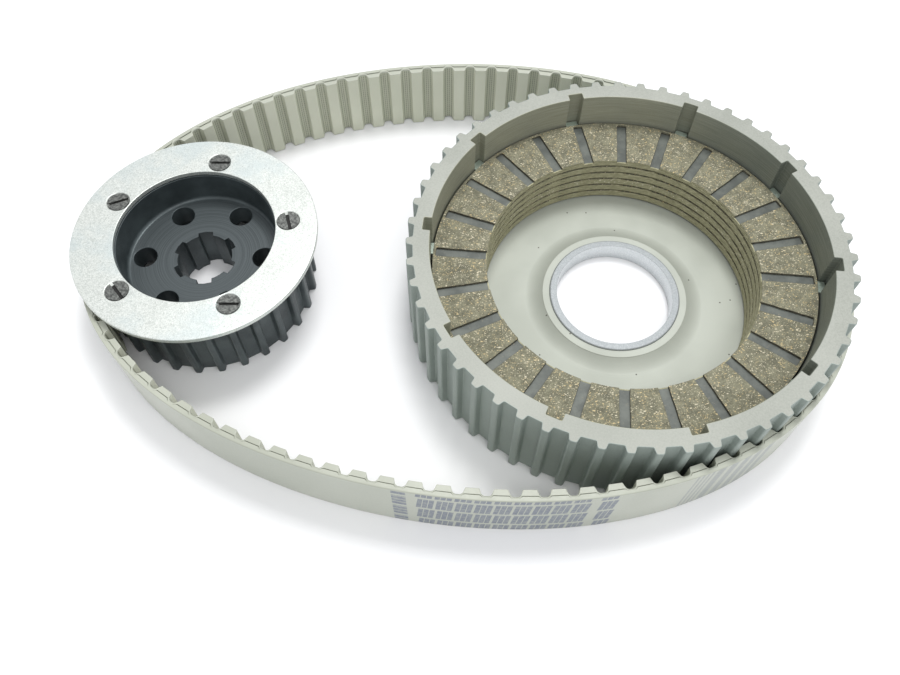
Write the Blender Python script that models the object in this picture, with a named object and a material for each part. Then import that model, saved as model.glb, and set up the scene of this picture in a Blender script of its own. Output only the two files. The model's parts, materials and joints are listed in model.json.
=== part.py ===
"""Toothed-belt primary drive of a motorcycle, laid out on a bench: a clutch basket with teeth outside
and six friction plates inside, a small drive pulley with a screwed-on flange, and the belt round both.

Sizes are in millimetres and become metres when a mesh or an empty is placed. Z is up, the bench is at
z = 0, and the origin is the middle of the assembly's footprint. Angles are in degrees, counted
anticlockwise from +X as seen from above. Until the last step X and Y count from the basket's axis.
"""

import math

import bmesh
import bpy
from mathutils import Matrix, Vector, geometry

MM = 0.001
FIT_GAP = 0.3  # between two pieces that bear on each other
BOND_GAP = 0.15  # between a lining and the plate it is bonded to
OVERRUN = 5.0  # how far a cutter reaches past the face it cuts
SAME_POINT = 1e-6
SMOOTH_BELOW = 30.0  # edges that turn less than this are shaded smooth
EMPTY_SIZE = 0.02

# Belt and tooth system: a metric profile with a 10 mm pitch.
PITCH = 10.0
BELT_TEETH = 81
BELT_WIDTH = 32.0
BELT_BACK = 2.0
BELT_TOOTH_HEIGHT = 2.5
BELT_TOOTH_TIP = 4.9
BELT_TOOTH_ROOT = 6.8
PITCH_LINE_DROP = 0.925  # from a pulley's pitch circle down to its tip circle
GROOVE_DEPTH = BELT_TOOTH_HEIGHT + 0.05
GROOVE_BOTTOM = BELT_TOOTH_TIP + 0.5
GROOVE_MOUTH = BELT_TOOTH_ROOT + FIT_GAP
LAND_DROP = 0.5  # how far down a land's broken corner reaches
LAND_SHOULDER = 0.05  # how far the corner's foot stands out past the groove's mouth
LAND_BREAK = 0.4  # how far the corner's top stands in from it

# Clutch basket
BASKET_TEETH = 55
BASKET_TOOTH_ANGLE = 2.5
BASKET_HEIGHT = 43.8
BASKET_BORE_WALL = 77.4
BASKET_FLOOR = 4.7
BASKET_SEGMENTS = 80
SLOT_COUNT = 10
SLOT_ANGLE = -6.8
SLOT_WIDTH = 6.0
SLOT_REACH = 80.6
BETWEEN_TABS = (0.25, 0.5, 0.75)  # where a core's edge has points, as shares of the way to the next tab
BOSS_RADIUS = 30.4
BOSS_TOP = 7.5
BOSS_LIP = 0.3
FILLET_REACH = 6.9
FILLET_CURVE = 1.7
FILLET_SHARES = (0.0, 0.25, 0.5, 0.75, 1.0)

# Bearing sleeve pressed into the basket's boss
SLEEVE_OUTER = 27.2
SLEEVE_BORE = 24.3
SLEEVE_HEIGHT = 8.3
SLEEVE_CHAMFER = 0.6
SLEEVE_SEGMENTS = 60

# Friction plates, each a core with a lining bonded to either face
PLATE_COUNT = 6
PLATE_PITCH = 4.0
PLATE_THICKNESS = PLATE_PITCH - FIT_GAP
LINING_THICKNESS = 0.9
LINING_OUTER = 76.6
LINING_INNER = 54.7
LINING_PADS = 24
LINING_ANGLE = 9.9
PAD_GROOVE = 4.0
LINING_RIM = 1.1  # closes each groove off at its outer end
CORE_INNER = LINING_INNER + 0.4
TAB_WIDTH = 5.4
TAB_REACH = 80.0

# Drive pulley
DRIVE_TEETH = 28
DRIVE_AXIS = (-171.2, 9.4)
DRIVE_HEIGHT = 34.3
CUP_RADIUS = 31.6
WEB_TOP = 20.3
WEB_BOTTOM = 10.6
HUB_RADIUS = 18.0
REAR_RECESS_RADIUS = 34.0
WEB_HOLE_COUNT = 6
WEB_HOLE_CIRCLE = 24.6
WEB_HOLE_RADIUS = 4.8
WEB_HOLE_SEGMENTS = 20
SPLINE_COUNT = 6
SPLINE_ANGLE = 36.5
SPLINE_MINOR = 11.2
SPLINE_MAJOR = 13.1
SPLINE_WIDTH = 6.0
BETWEEN_SPLINES = (0.4, 0.5, 0.6)  # where a spline's land has points, as shares of the way to the next slot
DRIVE_SEGMENTS = 60

# Flange and its countersunk screws
FLANGE_OUTER = 48.8
FLANGE_INNER = 32.0
FLANGE_THICKNESS = 2.0
FLANGE_BOTTOM = DRIVE_HEIGHT + FIT_GAP
FLANGE_TOP = FLANGE_BOTTOM + FLANGE_THICKNESS
FLANGE_EDGE = 0.4
SCREW_COUNT = 5
SCREW_CIRCLE = 37.25
SCREW_ANGLE = 10.4
SCREW_SLOT_ANGLES = (-74.0, 0.0, 22.0, -50.0, 0.0)
SCREW_HEAD = 4.55
SCREW_SHANK = 2.5
SCREW_LENGTH = 11.0
SCREW_HOLE_BELOW = 1.0  # how far the tapped hole goes on past the screw's end
SCREW_SLOT_WIDTH = 1.2
SCREW_SLOT_DEPTH = 0.9
SCREW_SEGMENTS = 20

# How the slack belt lies: where it meets each pulley, and how far each free run's curve handles reach.
BASKET_LEAVE = 33.1
DRIVE_MEET = 164.6
DRIVE_LEAVE = 178.6
BASKET_MEET = -48.6
TOP_HANDLES = (114.5, 103.5)
BOTTOM_HANDLES = (94.3, 105.1)
RUN_STEPS = 240
SLACK_RANGE = (0.9, 1.1)  # the handles' scale that gives the belt its length lies in this range
LENGTH_TRIALS = 40


# ---------------------------------------------------------------------------------------------
# Geometry
# ---------------------------------------------------------------------------------------------


def polar(radius, angle, centre=(0.0, 0.0)):
    turn = math.radians(angle)
    return Vector((centre[0] + radius * math.cos(turn), centre[1] + radius * math.sin(turn)))


def circle(radius, segments, centre=(0.0, 0.0)):
    return [polar(radius, 360.0 * k / segments, centre) for k in range(segments)]


def across(radius, angle, side):
    """The point at this distance out along the angle, and this far to the left of that line."""
    out = polar(1.0, angle)
    left = Vector((-out.y, out.x))
    return out * math.sqrt(radius**2 - side**2) + left * side


def pitch_radius(teeth):
    return teeth * PITCH / (2.0 * math.pi)


def tip_radius(teeth):
    return pitch_radius(teeth) - PITCH_LINE_DROP


def root_radius(teeth):
    return tip_radius(teeth) - GROOVE_DEPTH


def toothed_outline(teeth, first_angle):
    """A pulley's outline: straight-sided grooves with the lands' corners broken."""
    tip = tip_radius(teeth)
    root = root_radius(teeth)
    half_tip = math.pi * tip / teeth - GROOVE_MOUTH / 2
    half_root = math.pi * root / teeth - GROOVE_BOTTOM / 2
    flank = [
        (root, half_root),
        (tip - LAND_DROP, half_tip + LAND_SHOULDER),
        (tip, half_tip - LAND_BREAK),
    ]
    outline = []
    for k in range(teeth):
        angle = first_angle + 360.0 * k / teeth
        outline += [across(radius, angle, -half) for radius, half in flank]
        outline += [across(radius, angle, half) for radius, half in reversed(flank)]
    return outline


# ---------------------------------------------------------------------------------------------
# The belt's path
# ---------------------------------------------------------------------------------------------


def free_run(start, start_way, end, end_way, handles):
    """Points along the curve of a slack run that leaves and meets the pulleys along their tangents."""
    knee_1 = start + start_way * handles[0]
    knee_2 = end - end_way * handles[1]
    points = []
    for k in range(RUN_STEPS + 1):
        t = k / RUN_STEPS
        u = 1.0 - t
        points.append(start * u**3 + knee_1 * 3 * u * u * t + knee_2 * 3 * u * t * t + end * t**3)
    return points


def wrap(radius, centre, start_angle, end_angle):
    steps = max(2, round(end_angle - start_angle))
    turns = [start_angle + (end_angle - start_angle) * k / steps for k in range(steps + 1)]
    return [polar(radius, turn, centre) for turn in turns]


def tangent(angle):
    return polar(1.0, angle + 90.0)


def pitch_line(slack):
    """The closed pitch line, anticlockwise from a basket tooth. slack scales both free runs' handles."""
    basket = pitch_radius(BASKET_TEETH)
    drive = pitch_radius(DRIVE_TEETH)
    top = free_run(
        polar(basket, BASKET_LEAVE),
        tangent(BASKET_LEAVE),
        polar(drive, DRIVE_MEET, DRIVE_AXIS),
        tangent(DRIVE_MEET),
        [slack * reach for reach in TOP_HANDLES],
    )
    bottom = free_run(
        polar(drive, DRIVE_LEAVE, DRIVE_AXIS),
        tangent(DRIVE_LEAVE),
        polar(basket, BASKET_MEET),
        tangent(BASKET_MEET),
        [slack * reach for reach in BOTTOM_HANDLES],
    )
    stretches = [
        wrap(basket, (0.0, 0.0), BASKET_TOOTH_ANGLE, BASKET_LEAVE),
        top,
        wrap(drive, DRIVE_AXIS, DRIVE_MEET, DRIVE_LEAVE),
        bottom,
        wrap(basket, (0.0, 0.0), BASKET_MEET, BASKET_TOOTH_ANGLE),
    ]
    line = [stretches[0][0]]
    for stretch in stretches:
        line += stretch[1:]
    return line


def distances(line):
    """How far along the line each of its points lies."""
    along = [0.0]
    for before, after in zip(line, line[1:]):
        along.append(along[-1] + (after - before).length)
    return along


def belt_line():
    """The pitch line whose length is a whole number of pitches, found by halving the slack's range."""
    low, high = SLACK_RANGE
    for _ in range(LENGTH_TRIALS):
        slack = (low + high) / 2
        if distances(pitch_line(slack))[-1] < BELT_TEETH * PITCH:
            low = slack
        else:
            high = slack
    return pitch_line((low + high) / 2)


def belt_outlines(line):
    """(outer, inner) outlines of the belt's section along its pitch line."""
    along = distances(line)
    root_drop = PITCH_LINE_DROP - FIT_GAP
    back_rise = BELT_BACK - root_drop
    tip_drop = root_drop + BELT_TOOTH_HEIGHT
    middle = PITCH / 2
    tooth = [
        (middle - BELT_TOOTH_ROOT / 2, root_drop),
        (middle - BELT_TOOTH_TIP / 2, tip_drop),
        (middle + BELT_TOOTH_TIP / 2, tip_drop),
        (middle + BELT_TOOTH_ROOT / 2, root_drop),
    ]
    inner = []
    outer = []
    for k in range(BELT_TEETH):
        inner += [offset_point(line, along, k * PITCH + s, -drop) for s, drop in tooth]
        outer += [offset_point(line, along, k * PITCH + s, back_rise) for s in (0.0, middle)]
    return outer, inner


def offset_point(line, along, distance, outward):
    """The point this far along an anticlockwise line, moved off it to the outside."""
    k = next(i for i, reached in enumerate(along) if reached > distance)
    way = (line[k] - line[k - 1]).normalized()
    on_line = line[k - 1] + way * (distance - along[k - 1])
    return on_line + Vector((way.y, -way.x)) * outward


def drive_tooth_angle(line):
    """Where a drive pulley tooth stands so that it sits midway between two belt teeth."""
    along = distances(line)
    gaps = [offset_point(line, along, k * PITCH, 0.0) for k in range(BELT_TEETH)]
    centre = Vector(DRIVE_AXIS)
    nearest = min(gaps, key=lambda gap: (gap - centre).length)
    return math.degrees(math.atan2(nearest.y - centre.y, nearest.x - centre.x))


# ---------------------------------------------------------------------------------------------
# Solids
# ---------------------------------------------------------------------------------------------


def material(name, colour, roughness, metallic):
    made = bpy.data.materials.new(name)
    made.use_nodes = True
    shader = made.node_tree.nodes["Principled BSDF"]
    shader.inputs["Base Color"].default_value = (*colour, 1.0)
    shader.inputs["Roughness"].default_value = roughness
    shader.inputs["Metallic"].default_value = metallic
    made.diffuse_color = (*colour, 1.0)
    return made


def solid(name, shape, look=None, parent=None):
    """An object from a bmesh in millimetres, smooth across its shallow edges."""
    bmesh.ops.recalc_face_normals(shape, faces=shape.faces)
    bmesh.ops.scale(shape, vec=(MM, MM, MM), verts=shape.verts)
    mesh = bpy.data.meshes.new(name)
    shape.to_mesh(mesh)
    shape.free()
    mesh.shade_smooth()
    mesh.set_sharp_from_angle(angle=math.radians(SMOOTH_BELOW))
    obj = bpy.data.objects.new(name, mesh)
    bpy.context.scene.collection.objects.link(obj)
    if look:
        mesh.materials.append(look)
    obj.parent = parent
    return obj


def prism(outlines, bottom, top):
    """A bmesh of the flat shape inside the first outline and outside the others, from bottom to top."""
    shape = bmesh.new()
    loops = [[Vector((p.x, p.y, 0.0)) for p in outline] for outline in outlines]
    low = [[shape.verts.new((p.x, p.y, bottom)) for p in loop] for loop in loops]
    high = [[shape.verts.new((p.x, p.y, top)) for p in loop] for loop in loops]
    for under, over in zip(low, high):
        for k in range(len(under)):
            after = (k + 1) % len(under)
            shape.faces.new((under[k], under[after], over[after], over[k]))
    all_low = [vert for loop in low for vert in loop]
    all_high = [vert for loop in high for vert in loop]
    for triangle in geometry.tessellate_polygon(loops):
        shape.faces.new([all_low[k] for k in triangle])
        shape.faces.new([all_high[k] for k in triangle])
    return shape


def turned(profile, segments):
    """A bmesh turned about Z from a closed profile of (radius, height) points."""
    shape = bmesh.new()
    columns = []
    for k in range(segments):
        column = []
        for radius, height in profile:
            spot = polar(radius, 360.0 * k / segments)
            column.append(shape.verts.new((spot.x, spot.y, height)))
        columns.append(column)
    for k in range(segments):
        left = columns[k]
        right = columns[(k + 1) % segments]
        for i in range(len(profile)):
            j = (i + 1) % len(profile)
            on_axis = profile[i][0] == 0.0 and profile[j][0] == 0.0
            if not on_axis:
                shape.faces.new((left[i], right[i], right[j], left[j]))
    bmesh.ops.remove_doubles(shape, verts=shape.verts, dist=SAME_POINT)
    bmesh.ops.dissolve_degenerate(shape, edges=shape.edges, dist=SAME_POINT)
    return shape


def merged(shapes):
    """One bmesh that holds several separate ones."""
    whole = bmesh.new()
    for shape in shapes:
        piece = bpy.data.meshes.new("piece")
        shape.to_mesh(piece)
        shape.free()
        whole.from_mesh(piece)
        bpy.data.meshes.remove(piece)
    return whole


def cut(obj, name, shape):
    """Takes the bmesh away from the object with a Boolean. The cutter moves with the object's parent."""
    cutter = solid(name, shape, parent=obj.parent)
    cutter.hide_render = True
    cutter.display_type = "WIRE"
    boolean = obj.modifiers.new(name, "BOOLEAN")
    boolean.operation = "DIFFERENCE"
    boolean.solver = "EXACT"
    boolean.object = cutter


def axis_empty(name, x, y):
    empty = bpy.data.objects.new(name, None)
    empty.location = (x * MM, y * MM, 0.0)
    empty.empty_display_size = EMPTY_SIZE
    bpy.context.scene.collection.objects.link(empty)
    return empty


def radial_block(angle, inner, outer, width, bottom, top):
    """A straight-sided block that reaches out along the angle."""
    out = polar(1.0, angle)
    left = Vector((-out.y, out.x)) * (width / 2)
    corners = [out * inner - left, out * outer - left, out * outer + left, out * inner + left]
    return prism([corners], bottom, top)


def pin(radius, centre, bottom, top, segments):
    return prism([circle(radius, segments, centre)], bottom, top)


# ---------------------------------------------------------------------------------------------
# Sub-parts
# ---------------------------------------------------------------------------------------------


def make_belt(line, parent):
    look = material("belt_polyurethane", (0.62, 0.64, 0.56), 0.45, 0.0)
    outer, inner = belt_outlines(line)
    return solid("timing_belt", prism([outer, inner], 0.0, BELT_WIDTH), look, parent)


def make_clutch_basket(parent):
    look = material("basket_hard_anodised", (0.42, 0.44, 0.40), 0.5, 0.6)
    blank = prism([toothed_outline(BASKET_TEETH, BASKET_TOOTH_ANGLE)], 0.0, BASKET_HEIGHT)
    basket = solid("clutch_basket", blank, look, parent)
    past_top = BASKET_HEIGHT + OVERRUN
    rise = BOSS_TOP - BOSS_LIP - BASKET_FLOOR
    fillet = [
        (BOSS_RADIUS + FILLET_REACH * share, BASKET_FLOOR + rise * (1.0 - share) ** FILLET_CURVE)
        for share in FILLET_SHARES
    ]
    hollow = [
        (0.0, -OVERRUN),
        (SLEEVE_OUTER + FIT_GAP, -OVERRUN),
        (SLEEVE_OUTER + FIT_GAP, BOSS_TOP),
        (BOSS_RADIUS, BOSS_TOP),
        *fillet,
        (BASKET_BORE_WALL, BASKET_FLOOR),
        (BASKET_BORE_WALL, past_top),
        (0.0, past_top),
    ]
    cut(basket, "basket_hollow", turned(hollow, BASKET_SEGMENTS))
    slots = []
    for k in range(SLOT_COUNT):
        angle = SLOT_ANGLE + 360.0 * k / SLOT_COUNT
        start = BASKET_BORE_WALL - OVERRUN
        slots.append(radial_block(angle, start, SLOT_REACH, SLOT_WIDTH, BASKET_FLOOR, past_top))
    cut(basket, "basket_slots", merged(slots))
    return basket


def make_bearing_sleeve(parent):
    look = material("bearing_steel", (0.55, 0.58, 0.60), 0.25, 1.0)
    profile = [
        (SLEEVE_BORE, 0.0),
        (SLEEVE_OUTER, 0.0),
        (SLEEVE_OUTER, SLEEVE_HEIGHT),
        (SLEEVE_BORE + SLEEVE_CHAMFER, SLEEVE_HEIGHT),
        (SLEEVE_BORE, SLEEVE_HEIGHT - SLEEVE_CHAMFER),
    ]
    return solid("bearing_sleeve", turned(profile, SLEEVE_SEGMENTS), look, parent)


def core_outline():
    """The core's outer edge, with a tab for each of the basket's slots."""
    outline = []
    step = 360.0 / SLOT_COUNT
    half_tab = TAB_WIDTH / 2
    for k in range(SLOT_COUNT):
        angle = SLOT_ANGLE + step * k
        outline.append(across(LINING_OUTER, angle, -half_tab))
        outline.append(across(TAB_REACH, angle, -half_tab))
        outline.append(across(TAB_REACH, angle, half_tab))
        outline.append(across(LINING_OUTER, angle, half_tab))
        outline += [polar(LINING_OUTER, angle + step * part) for part in BETWEEN_TABS]
    return outline


def lining_inner_outline():
    """The lining's inner edge: an arc for each pad, and a groove that runs out almost to the rim."""
    outline = []
    step = 360.0 / LINING_PADS
    half_groove = PAD_GROOVE / 2
    for k in range(LINING_PADS):
        angle = LINING_ANGLE + step * k
        outline.append(across(LINING_INNER, angle, -half_groove))
        outline.append(across(LINING_OUTER - LINING_RIM, angle, -half_groove))
        outline.append(across(LINING_OUTER - LINING_RIM, angle, half_groove))
        outline.append(across(LINING_INNER, angle, half_groove))
    return outline


def make_friction_plate(number, parent, core_look, lining_look):
    bottom = BASKET_FLOOR + FIT_GAP + (number - 1) * PLATE_PITCH
    top = bottom + PLATE_THICKNESS
    lining_gap = LINING_THICKNESS + BOND_GAP
    rim = circle(LINING_OUTER, 2 * LINING_PADS)
    pads = lining_inner_outline()
    bore = circle(CORE_INNER, 4 * SLOT_COUNT)
    name = f"friction_plate_{number}"
    core = prism([core_outline(), bore], bottom + lining_gap, top - lining_gap)
    lower = prism([rim, pads], bottom, bottom + LINING_THICKNESS)
    upper = prism([rim, pads], top - LINING_THICKNESS, top)
    solid(f"{name}_core", core, core_look, parent)
    solid(f"{name}_lining_lower", lower, lining_look, parent)
    solid(f"{name}_lining_upper", upper, lining_look, parent)


def spline_outline():
    """The bore's outline: arcs of the minor circle between straight-sided slots."""
    outline = []
    step = 360.0 / SPLINE_COUNT
    half = SPLINE_WIDTH / 2
    for k in range(SPLINE_COUNT):
        angle = SPLINE_ANGLE + step * k
        outline.append(across(SPLINE_MINOR, angle, -half))
        outline.append(across(SPLINE_MAJOR, angle, -half))
        outline.append(polar(SPLINE_MAJOR, angle))
        outline.append(across(SPLINE_MAJOR, angle, half))
        outline.append(across(SPLINE_MINOR, angle, half))
        outline += [polar(SPLINE_MINOR, angle + step * part) for part in BETWEEN_SPLINES]
    return outline


def screw_place(number):
    return polar(SCREW_CIRCLE, SCREW_ANGLE + 360.0 * (number - 1) / SCREW_COUNT)


def make_drive_pulley(tooth_angle, parent):
    look = material("pulley_black_anodised", (0.05, 0.06, 0.062), 0.4, 0.5)
    blank = prism([toothed_outline(DRIVE_TEETH, tooth_angle)], 0.0, DRIVE_HEIGHT)
    pulley = solid("drive_pulley", blank, look, parent)
    past_top = DRIVE_HEIGHT + OVERRUN
    cut(pulley, "pulley_cup", pin(CUP_RADIUS, (0, 0), WEB_TOP, past_top, DRIVE_SEGMENTS))
    recess = [
        (HUB_RADIUS, -OVERRUN),
        (REAR_RECESS_RADIUS, -OVERRUN),
        (REAR_RECESS_RADIUS, WEB_BOTTOM),
        (HUB_RADIUS, WEB_BOTTOM),
    ]
    cut(pulley, "pulley_rear_recess", turned(recess, DRIVE_SEGMENTS))
    cut(pulley, "pulley_spline", prism([spline_outline()], -OVERRUN, past_top))
    holes = []
    for k in range(WEB_HOLE_COUNT):
        place = polar(WEB_HOLE_CIRCLE, 360.0 * k / WEB_HOLE_COUNT)
        holes.append(pin(WEB_HOLE_RADIUS, place, WEB_BOTTOM - OVERRUN, past_top, WEB_HOLE_SEGMENTS))
    cut(pulley, "pulley_web_holes", merged(holes))
    threads = []
    depth = FLANGE_TOP - SCREW_LENGTH - SCREW_HOLE_BELOW
    radius = SCREW_SHANK + FIT_GAP
    for number in range(1, SCREW_COUNT + 1):
        threads.append(pin(radius, screw_place(number), depth, past_top, SCREW_SEGMENTS))
    cut(pulley, "pulley_screw_holes", merged(threads))
    return pulley


def make_pulley_flange(parent):
    look = material("flange_zinc", (0.72, 0.74, 0.74), 0.35, 1.0)
    profile = [
        (FLANGE_INNER, FLANGE_BOTTOM),
        (FLANGE_OUTER, FLANGE_BOTTOM),
        (FLANGE_OUTER, FLANGE_TOP - FLANGE_EDGE),
        (FLANGE_OUTER - FLANGE_EDGE, FLANGE_TOP),
        (FLANGE_INNER, FLANGE_TOP),
    ]
    flange = solid("pulley_flange", turned(profile, DRIVE_SEGMENTS), look, parent)
    countersinks = []
    wide = SCREW_HEAD + FIT_GAP
    narrow = wide - FLANGE_THICKNESS
    countersink = [
        (0.0, FLANGE_BOTTOM - OVERRUN),
        (narrow, FLANGE_BOTTOM - OVERRUN),
        (narrow, FLANGE_BOTTOM),
        (wide, FLANGE_TOP),
        (wide, FLANGE_TOP + OVERRUN),
        (0.0, FLANGE_TOP + OVERRUN),
    ]
    for number in range(1, SCREW_COUNT + 1):
        sink = turned(countersink, SCREW_SEGMENTS)
        place = screw_place(number).to_3d()
        bmesh.ops.translate(sink, vec=place, verts=sink.verts)
        countersinks.append(sink)
    cut(flange, "flange_countersinks", merged(countersinks))
    return flange


def make_flange_screw(number, parent, look):
    """A slotted countersunk screw, its head flush with the flange."""
    head_depth = SCREW_HEAD - SCREW_SHANK
    profile = [
        (0.0, FLANGE_TOP - SCREW_LENGTH),
        (SCREW_SHANK, FLANGE_TOP - SCREW_LENGTH),
        (SCREW_SHANK, FLANGE_TOP - head_depth),
        (SCREW_HEAD, FLANGE_TOP),
        (0.0, FLANGE_TOP),
    ]
    place = screw_place(number).to_3d()
    body = turned(profile, SCREW_SEGMENTS)
    bmesh.ops.translate(body, vec=place, verts=body.verts)
    screw = solid(f"flange_screw_{number}", body, look, parent)
    reach = SCREW_HEAD + OVERRUN
    bottom = FLANGE_TOP - SCREW_SLOT_DEPTH
    slot = radial_block(0.0, -reach, reach, SCREW_SLOT_WIDTH, bottom, FLANGE_TOP + OVERRUN)
    turn = Matrix.Rotation(math.radians(SCREW_SLOT_ANGLES[number - 1]), 4, "Z")
    bmesh.ops.transform(slot, matrix=Matrix.Translation(place) @ turn, verts=slot.verts)
    cut(screw, f"flange_screw_{number}_slot", slot)
    return screw


# ---------------------------------------------------------------------------------------------
# Assembly
# ---------------------------------------------------------------------------------------------


def clear_scene():
    for obj in list(bpy.data.objects):
        bpy.data.objects.remove(obj, do_unlink=True)


def footprint_middle(line):
    """The middle of the footprint, in X and Y counted from the basket's axis."""
    outer, _ = belt_outlines(line)
    xs = [p.x for p in outer] + [DRIVE_AXIS[0] - FLANGE_OUTER]
    ys = [p.y for p in outer]
    return (min(xs) + max(xs)) / 2, (min(ys) + max(ys)) / 2


def main():
    clear_scene()
    line = belt_line()
    middle_x, middle_y = footprint_middle(line)
    layout = axis_empty("layout", -middle_x, -middle_y)
    basket_axis = axis_empty("basket_axis", 0.0, 0.0)
    drive_axis = axis_empty("drive_axis", *DRIVE_AXIS)
    basket_axis.parent = layout
    drive_axis.parent = layout
    make_belt(line, layout)
    make_clutch_basket(basket_axis)
    make_bearing_sleeve(basket_axis)
    core_look = material("plate_core", (0.36, 0.38, 0.38), 0.5, 0.9)
    lining_look = material("plate_lining", (0.17, 0.14, 0.10), 0.85, 0.0)
    for number in range(1, PLATE_COUNT + 1):
        make_friction_plate(number, basket_axis, core_look, lining_look)
    make_drive_pulley(drive_tooth_angle(line), drive_axis)
    make_pulley_flange(drive_axis)
    screw_look = material("screw_steel", (0.18, 0.18, 0.17), 0.35, 1.0)
    for number in range(1, SCREW_COUNT + 1):
        make_flange_screw(number, drive_axis, screw_look)


main()
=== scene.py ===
"""Looks of the toothed-belt clutch drive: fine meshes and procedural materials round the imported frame.

Sizes are in millimetres and become metres when a mesh is made. Z is up. Angles are in degrees, counted
anticlockwise from +X as seen from above. A turned piece's mesh counts from its own axis, at z = 0.
"""

import json
import math
import random

import bmesh
import bpy
import numpy as np
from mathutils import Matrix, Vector, geometry


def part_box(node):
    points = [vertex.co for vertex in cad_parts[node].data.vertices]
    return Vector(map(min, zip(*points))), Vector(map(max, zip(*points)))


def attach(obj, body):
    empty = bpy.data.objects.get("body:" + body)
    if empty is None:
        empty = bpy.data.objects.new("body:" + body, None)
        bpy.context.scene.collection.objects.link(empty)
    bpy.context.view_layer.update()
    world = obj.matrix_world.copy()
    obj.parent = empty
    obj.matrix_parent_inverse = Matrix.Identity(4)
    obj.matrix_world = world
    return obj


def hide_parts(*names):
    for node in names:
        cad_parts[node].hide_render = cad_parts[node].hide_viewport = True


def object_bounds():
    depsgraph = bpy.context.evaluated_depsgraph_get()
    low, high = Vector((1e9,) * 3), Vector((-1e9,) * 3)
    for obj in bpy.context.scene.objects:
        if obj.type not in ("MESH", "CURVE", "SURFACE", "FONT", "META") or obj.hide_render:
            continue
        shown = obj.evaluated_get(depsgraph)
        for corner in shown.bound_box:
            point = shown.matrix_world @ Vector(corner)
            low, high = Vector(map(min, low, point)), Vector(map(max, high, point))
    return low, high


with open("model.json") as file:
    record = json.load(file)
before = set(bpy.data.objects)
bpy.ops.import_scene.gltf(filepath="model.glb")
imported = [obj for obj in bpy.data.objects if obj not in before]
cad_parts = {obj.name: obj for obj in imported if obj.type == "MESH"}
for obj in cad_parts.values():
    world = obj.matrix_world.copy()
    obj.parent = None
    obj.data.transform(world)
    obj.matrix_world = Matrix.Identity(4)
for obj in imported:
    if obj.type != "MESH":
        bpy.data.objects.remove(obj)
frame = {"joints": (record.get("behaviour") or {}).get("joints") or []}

CAD_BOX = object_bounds()
MM = 0.001
NO_EDGE = 0.0

# Belt and tooth system, as in the CAD
PITCH = 10.0
BELT_TEETH = 81
BELT_WIDTH = 32.0
BELT_BACK = 2.0
BELT_TOOTH_HEIGHT = 2.5
BELT_TOOTH_TIP = 4.9
BELT_TOOTH_ROOT = 6.8
PITCH_LINE_DROP = 0.925
FIT_GAP = 0.3
TIP_CLEARANCE = 0.05
TIP_PLAY = 0.5
GROOVE_DEPTH = BELT_TOOTH_HEIGHT + TIP_CLEARANCE
GROOVE_BOTTOM = BELT_TOOTH_TIP + TIP_PLAY
GROOVE_MOUTH = BELT_TOOTH_ROOT + FIT_GAP
TOOTH_TIP_ROUND = 0.85
TOOTH_ROOT_ROUND = 0.5

# Clutch basket
BASKET_TEETH = 55
BASKET_TOOTH_ANGLE = 2.5
BASKET_BORE_WALL = 77.4
BASKET_FLOOR = 4.7
SLOT_COUNT = 10
SLOT_ANGLE = -6.8
SLOT_WIDTH = 6.0
SLOT_REACH = 80.6
SLOT_ROUNDS = (0.4, 0.5)  # at a slot's mouth and at its bottom
SLOT_STEPS = 24
BOSS_RADIUS = 30.4
BOSS_BORE = 27.4
BOSS_TOP = 7.5
BOSS_LIP = 0.3
FILLET_REACH = 6.9
FILLET_CURVE = 1.7

# Bearing sleeve
SLEEVE_OUTER = 27.35
SLEEVE_BORE = 24.3
SLEEVE_HEIGHT = 8.3

# Friction plates
PLATE_COUNT = 6
PLATE_PITCH = 4.0
PLATE_THICKNESS = PLATE_PITCH - FIT_GAP
LINING_THICKNESS = 0.9
BOND_GAP = 0.15
LINING_OUTER = 76.6
LINING_INNER = 54.7
LINING_PADS = 24
LINING_ANGLE = 9.9
PAD_GROOVE = 4.0
PAD_CORNER = 0.3
PAD_STEPS = 12
GROOVE_CORNER = 0.5
RAGGED = 0.07
RAGGED_SPOTS = 9
RAGGED_SEED = 11
LINING_RIM = 1.1
CORE_INNER = 55.1
TAB_WIDTH = 5.4
TAB_REACH = 80.0
TAB_ROUNDS = (0.4, 0.6)
TAB_STEPS = 20

# Drive pulley, its flange and screws
DRIVE_TEETH = 28
DRIVE_HEIGHT = 34.3
CUP_RADIUS = 31.6
CUP_FILLET = 1.6
WEB_TOP = 20.3
WEB_BOTTOM = 10.6
HUB_RADIUS = 18.0
REAR_RECESS_RADIUS = 34.0
WEB_HOLE_COUNT = 6
WEB_HOLE_CIRCLE = 24.6
WEB_HOLE_RADIUS = 4.8
SPLINE_COUNT = 6
SPLINE_ANGLE = 36.5
SPLINE_MINOR = 11.2
SPLINE_MAJOR = 13.1
SPLINE_WIDTH = 6.0
SPLINE_ROUNDS = (0.15, 0.25)
SPLINE_STEPS = 8
FLANGE_OUTER = 48.8
FLANGE_INNER = 32.0
FLANGE_THICKNESS = 2.0
FLANGE_BOTTOM = DRIVE_HEIGHT + FIT_GAP
FLANGE_TOP = FLANGE_BOTTOM + FLANGE_THICKNESS
SCREW_COUNT = 5
SCREW_CIRCLE = 37.25
SCREW_ANGLE = 10.4
SCREW_SLOT_ANGLES = (-74.0, 0.0, 22.0, -50.0, 0.0)
SCREW_HEAD = 4.55
SCREW_SHANK = 2.5
SCREW_LENGTH = 11.0
SCREW_SLOT_WIDTH = 1.2
SCREW_SLOT_DEPTH = 0.9

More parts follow.
